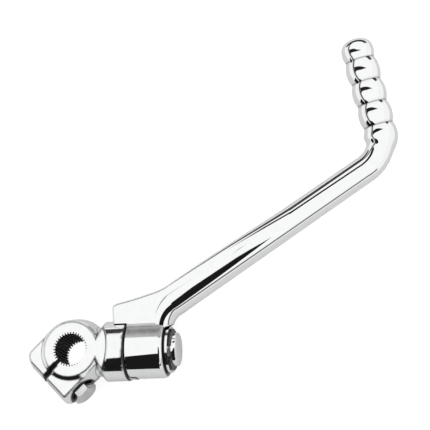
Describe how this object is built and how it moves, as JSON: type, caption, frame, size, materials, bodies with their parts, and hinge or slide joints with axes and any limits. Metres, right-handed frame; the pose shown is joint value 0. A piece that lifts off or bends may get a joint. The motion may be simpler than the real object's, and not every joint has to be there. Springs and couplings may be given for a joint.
{
  "type": "folding kick start lever",
  "caption": "Folding kick start lever with a serrated clamp boss, fold spindle, curved rod and ribbed foot peg.",
  "frame": {"origin": "middle of the serrated bore, on the fold spindle's axis", "axes": "+Z out along the serrated bore to the clamp's outer face, +X along the fold spindle from the clamp to the hub's end, +Y square to both, towards the side where the stowed arm lies"},
  "size_m": [0.2251, 0.2005, 0.067],
  "materials": {
    "boss_chrome": "bright chrome plate over polished forged steel",
    "arm_chrome": "bright chrome plate over polished forged steel",
    "bolt_zinc": "satin zinc plate",
    "dark_spring_steel": "blackened spring steel",
    "washer_steel": "bright zinc plate",
    "pin_steel": "ground bright steel"
  },
  "bodies": {
    "boss": {"kick_boss": "boss_chrome", "pinch_bolt": "bolt_zinc", "lock_washer": "dark_spring_steel", "thrust_washer": "washer_steel", "circlip": "dark_spring_steel", "detent_spring": "pin_steel"},
    "arm": {"lever_arm": "arm_chrome"},
    "plunger": {"detent_plunger": "pin_steel"}
  },
  "joints": [
    {"name": "arm_fold", "type": "hinge", "parent": "boss", "child": "arm", "pos_m": [0.045, 0, 0], "axis": [-1, 0, 0], "range_deg": [0, 100]},
    {"name": "plunger_press", "type": "slide", "parent": "boss", "child": "plunger", "axis": [0, 0, 1], "range_m": [-0.0008, 0], "stiffness_N_per_m": 3000, "springref_m": 0.002, "deforming": ["detent_spring"]}
  ]
}
